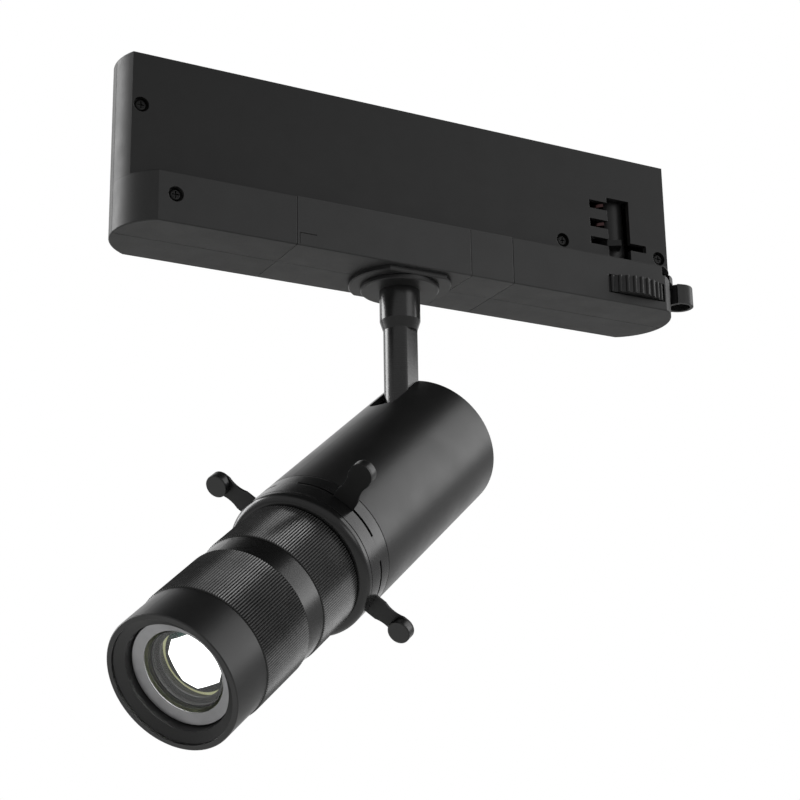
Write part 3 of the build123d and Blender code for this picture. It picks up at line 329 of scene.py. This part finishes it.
def lit_lens(name):
    """The focusing lens, with the lit gate painted on as a glowing eight-sided patch inside a
    dark field painted as shade.

    The patch lies inside eight straight sides round the beam. Outside it, green-blue glints are
    painted on as a glow, and the ground rim glows with painted lamp light.
    """
    m = Shader(name, IOR=1.52, Coat_Weight=0.6, Coat_Roughness=0.04, Emission_Strength=1.0)
    x, y, r = m.from_beam()
    edge = None
    for angle, reach in GATE_SIDES:
        a = math.radians(angle)
        part_x = m.math("MULTIPLY", x, math.cos(a))
        side = m.math("ADD", part_x, m.math("MULTIPLY", y, math.sin(a)))
        side = m.math("SUBTRACT", side, reach * MM)
        edge = side if edge is None else m.math("MAXIMUM", edge, side)
    # Painted light: the lit gate's patch glows.
    lit = m.smooth(edge, 0.12 * MM, -0.12 * MM)
    rim = m.smooth(r, *(radius * MM for radius in GROUND_RIM))
    # Painted glints: a green-blue glow on one side of the lens, broken up by noise.
    around = m.math("SUBTRACT", m.math("ARCTAN2", y, x), math.radians(GLINT_SIDE))
    facing = m.ramp(m.math("COSINE", around), 0.1, 0.95)
    glint = m.math("MULTIPLY", facing, m.ramp(m.noise(260.0, 3.0), 0.4, 0.62))
    painted_glint_colour = m.mix(glint, (0.002, 0.003, 0.003), (0.006, 0.12, 0.095))
    # Painted lamp light: the ground rim glows warm.
    warm = m.mix(m.noise(120.0, 2.0), (0.42, 0.42, 0.18), (0.75, 0.76, 0.5))
    glow = m.mix(lit, m.mix(rim, painted_glint_colour, warm), (1.0, 1.0, 0.985))
    painted_field_glow = m.math("MULTIPLY_ADD", rim, 0.05, 0.5)
    strength = m.math("ADD", m.math("MULTIPLY", lit, 2.2), painted_field_glow)
    # Base colour: a dark field painted in as shade, and a rim painted yellow as lamp light.
    dark = m.mix(rim, (0.01, 0.014, 0.014), (0.3, 0.32, 0.12))
    return m.set(Base_Color=m.mix(lit, dark, (0.8, 0.8, 0.78)),
                 Emission_Color=glow, Emission_Strength=strength,
                 Roughness=m.ramp(m.noise(300.0), *NOISE_SPAN, 0.06, 0.12))


# ---- materials for every node ---------------------------------------------
LOOKS = {
    # The case's skirt level is a painted sheen on the lower part.
    "case": moulded("case_plastic_look", 0.012, 0.46, skirt=0.034),
    # Painted sheen: the covers get a lighter base than the case, for the skirt's bright middle.
    "cover": moulded("cover_plastic_look", 0.036, 0.43),
    "drum": moulded("drum_look", 0.02, 0.36, 0.25),
    "wheel": moulded("wheel_look", 0.018, 0.38, 0.3),
    "latch": moulded("latch_look", 0.02, 0.36, 0.25),
    "screw": recessed_screw("screw_look", 0.02),
    "board": board("board_look"),
    "coil": coil("coil_look"),
    "can": bare_metal("capacitor_look", (0.42, 0.43, 0.46), 0.32),
    "terminal": moulding_resin("terminal_look", (0.72, 0.72, 0.68), 0.35),
    "copper": bare_metal("copper_look", (0.105, 0.06, 0.06), 0.2,
                         tarnish=(0.6, 0.45, 0.45)),
    "steel": bare_metal("steel_look", (0.55, 0.55, 0.56), 0.28),
    "swivel": anodised("swivel_look", 0.012, 0.42, (0, 0, 1), lines=0.2),
    "stem": anodised("stem_look", 0.010, 0.24, (0, 0, 1), lines=0.2, ior=1.7),
    "nylon": moulding_resin("nylon_look", (0.62, 0.6, 0.53), 0.42),
    "housing": anodised("housing_look", 0.012, 0.37, BEAM, PIVOT, ior=1.6),
    "ring": anodised("gate_ring_look", 0.012, 0.24, BEAM, PIVOT, lines=0.15, ior=1.6),
    "grip": knurled("grip_look", 0.013, 0.26, 22.4, 22.0),
    "barrel": anodised("barrel_look", 0.01, 0.26, BEAM, PIVOT, ior=1.65),
    "cap": anodised("cap_look", 0.02, 0.38, BEAM, PIVOT, ior=1.6),
    "sink": anodised("sink_look", 0.05, 0.42, metal=0.8),
    "bezel": bare_metal("bezel_look", (0.42, 0.42, 0.43), 0.34, BEAM, PIVOT,
                        tarnish=(0.9, 0.9, 0.9)),
    "led_board": moulding_resin("led_board_look", (0.75, 0.75, 0.72), 0.4, 0.04),
    "emitter": emitter("emitter_look"),
    "lens": glass("lens_look", (0.97, 1.0, 0.975), (0.45, 0.5, 0.25), 12.2, 12.6),
    "front_lens": glass("front_lens_look", (0.98, 1.0, 0.985), (0.32, 0.36, 0.16),
                        12.45, 12.6),
    "lit_lens": lit_lens("lit_lens_look"),
    "sheet": anodised("shutter_sheet_look", 0.012, 0.48, ior=1.5),
    "knob": anodised("shutter_knob_look", 0.013, 0.34, BEAM, PIVOT),
    "shoe": moulded("acetal_look", 0.016, 0.4, 0.2),
}
WEARS = {
    "case": ["adapter_front_shell", "adapter_rear_shell"],
    "cover": ["centre_cover_front", "centre_cover_rear", "latch_inserts"],
    "screw": ["case_screws", "head_screws"],
    "board": ["driver_board"], "coil": ["transformer"], "can": ["capacitors"],
    "terminal": ["terminal_block"], "copper": ["line_springs", "contact_blades"],
    "drum": ["contact_drum"], "wheel": ["selector_wheel"],
    "latch": ["latch_lever", "latch_plate"],
    "steel": ["latch_pin", "swivel_washer", "swivel_nut", "tilt_clevis", "tilt_pin",
              "tilt_pin_clip"],
    "swivel": ["swivel_plate", "swivel_disc"], "nylon": ["swivel_bush", "friction_washers"],
    "stem": ["stem"], "housing": ["head_housing", "rear_cap"],
    "ring": ["gate_ring_rear", "gate_ring_front", "condenser_holder"],
    "grip": ["zoom_ring", "focus_ring"], "barrel": ["lens_barrel"], "cap": ["front_cap"],
    "sink": ["heat_sink"], "bezel": ["front_bezel"], "led_board": ["led_board"],
    "emitter": ["led_emitter"], "lens": ["condenser_lens", "zoom_lens"],
    "front_lens": ["front_lens"], "lit_lens": ["focus_lens"],
    "sheet": ["gate_plate"] + [f"shutter_{i}_blade" for i in range(1, 5)],
    "knob": [f"shutter_{i}_knob" for i in range(1, 5)],
    "shoe": ["zoom_lens_carrier", "focus_lens_carrier"]
            + [f"shutter_{i}_shoe" for i in range(1, 5)],
}
for look, names in WEARS.items():
    for node_name in names:
        mesh = NODES[node_name].data
        mesh.materials.clear()
        mesh.materials.append(LOOKS[look])
bare = sorted(set(NODES) - {n for names in WEARS.values() for n in names})
assert not bare, bare


# ---- stage, light and camera ------------------------------------------------
# Distances and sizes of the stage are in metres.
FLOOR_HALF = 6.0
FLOOR_HEIGHT = -0.75
FLOOR_COLOUR = (0.82, 0.82, 0.81)
SHELL_RADIUS = 9.0
# The shell's light overhead, behind the object and everywhere else.
SKY_TOP = 0.05
SKY_BACK = 1.0
SKY_SIDE = 0.36
# The way the camera looks, near enough, so the bright part lies behind the object.
BACK_AXIS = Vector((0.454, 0.841, 0.29)).normalized()
# Azimuth and elevation in degrees, distance, width, height, power in watts.
SOFTBOXES = {
    "key_right": (-8.0, 30.0, 1.4, 0.7, 1.2, 6.0),
    "sheen_front": (-62.0, 14.0, 0.9, 0.5, 0.3, 0.6),
    "rim_left": (132.0, 22.0, 1.4, 0.6, 0.9, 10.0),
}
CAMERA_PLACE = Vector((-291.9, -533.6, -293.0)) * MM
CAMERA_FORWARD = Vector((0.4539, 0.8414, 0.2932)).normalized()
CAMERA_ROLL = -0.99
SENSOR_WIDTH = 36.0
FOCAL_LENGTH = 81.17


def plain(name, colour, rough=0.9):
    """A matt surface, very slightly uneven."""
    m = Shader(name, IOR=1.3)
    shade = m.mix(m.noise(1.5, 2.0), tuple(c * 0.985 for c in colour), colour)
    gloss = m.ramp(m.noise(3.0), *NOISE_SPAN, rough - 0.05, rough + 0.05)
    return m.set(Base_Color=shade, Roughness=gloss)


def floor():
    mesh = bpy.data.meshes.new("floor")
    corners = [(x * FLOOR_HALF, y * FLOOR_HALF, 0)
               for x, y in ((-1, -1), (1, -1), (1, 1), (-1, 1))]
    mesh.from_pydata(corners, [], [(0, 1, 2, 3)])
    mesh.materials.append(plain("floor_look", FLOOR_COLOUR))
    made = bpy.data.objects.new("floor", mesh)
    made.location.z = FLOOR_HEIGHT
    bpy.context.scene.collection.objects.link(made)


def softbox(name, azimuth, elevation, distance, width, height, power):
    """A rectangular area light that faces the object."""
    a, e = math.radians(azimuth), math.radians(elevation)
    aim = (CAD_BOX[0] + CAD_BOX[1]) / 2
    place = Vector((math.cos(e) * math.cos(a), math.cos(e) * math.sin(a), math.sin(e)))
    data = bpy.data.lights.new(name, "AREA")
    data.shape = "RECTANGLE"
    data.size = width
    data.size_y = height
    data.energy = power
    made = bpy.data.objects.new(name, data)
    made.location = aim + place * distance
    made.rotation_euler = place.to_track_quat("Z", "Y").to_euler()
    made.visible_camera = False
    bpy.context.scene.collection.objects.link(made)


def dome():
    """A large unseen shell of light: bright behind the object, dim elsewhere, dark above."""
    mesh = bpy.data.meshes.new("light_shell")
    shape = bmesh.new()
    bmesh.ops.create_icosphere(shape, subdivisions=5, radius=SHELL_RADIUS)
    shape.to_mesh(mesh)
    shape.free()
    m = Shader("light_shell_look")
    place = m.vector("NORMALIZE", m.coords, (0, 0, 0)).outputs[0]
    part = m.add("ShaderNodeSeparateXYZ", {0: place}).outputs
    over = m.smooth(part[2], 0.62, 0.90, 1.0, SKY_TOP)
    back = m.vector("DOT_PRODUCT", place, BACK_AXIS).outputs["Value"]
    level = m.math("MULTIPLY", over, m.smooth(back, 0.68, 0.93, SKY_SIDE, SKY_BACK))
    glow = m.add("ShaderNodeEmission", {"Color": (1, 1, 1, 1), "Strength": level})
    m.tree.links.new(glow.outputs[0], m.tree.nodes["Material Output"].inputs["Surface"])
    m.material.cycles.emission_sampling = "NONE"
    mesh.materials.append(m.material)
    made = bpy.data.objects.new("light_shell", mesh)
    made.visible_camera = False
    bpy.context.scene.collection.objects.link(made)


def studio():
    scene = bpy.context.scene
    world = bpy.data.worlds.new("studio")
    scene.world = world
    world.use_nodes = True
    background = world.node_tree.nodes["Background"]
    background.inputs["Color"].default_value = (1.0, 1.0, 1.0, 1.0)
    background.inputs["Strength"].default_value = 1.0
    scene.view_settings.view_transform = "Standard"
    scene.view_settings.look = "None"
    floor()
    dome()
    for name, values in SOFTBOXES.items():
        softbox(name, *values)


def camera():
    """Set from below and in front, looking up at the adapter."""
    data = bpy.data.cameras.new("camera")
    data.sensor_width = SENSOR_WIDTH
    data.lens = FOCAL_LENGTH
    data.clip_start = 0.01
    data.clip_end = 50.0
    made = bpy.data.objects.new("camera", data)
    right = CAMERA_FORWARD.cross(Vector((0, 0, 1))).normalized()
    up = right.cross(CAMERA_FORWARD)
    roll = math.radians(CAMERA_ROLL)
    side = right * math.cos(roll) + up * math.sin(roll)
    top = side.cross(CAMERA_FORWARD)
    turn = Matrix((side, top, -CAMERA_FORWARD)).transposed()
    made.matrix_world = Matrix.Translation(CAMERA_PLACE) @ turn.to_4x4()
    bpy.context.scene.collection.objects.link(made)
    bpy.context.scene.camera = made


studio()
camera()
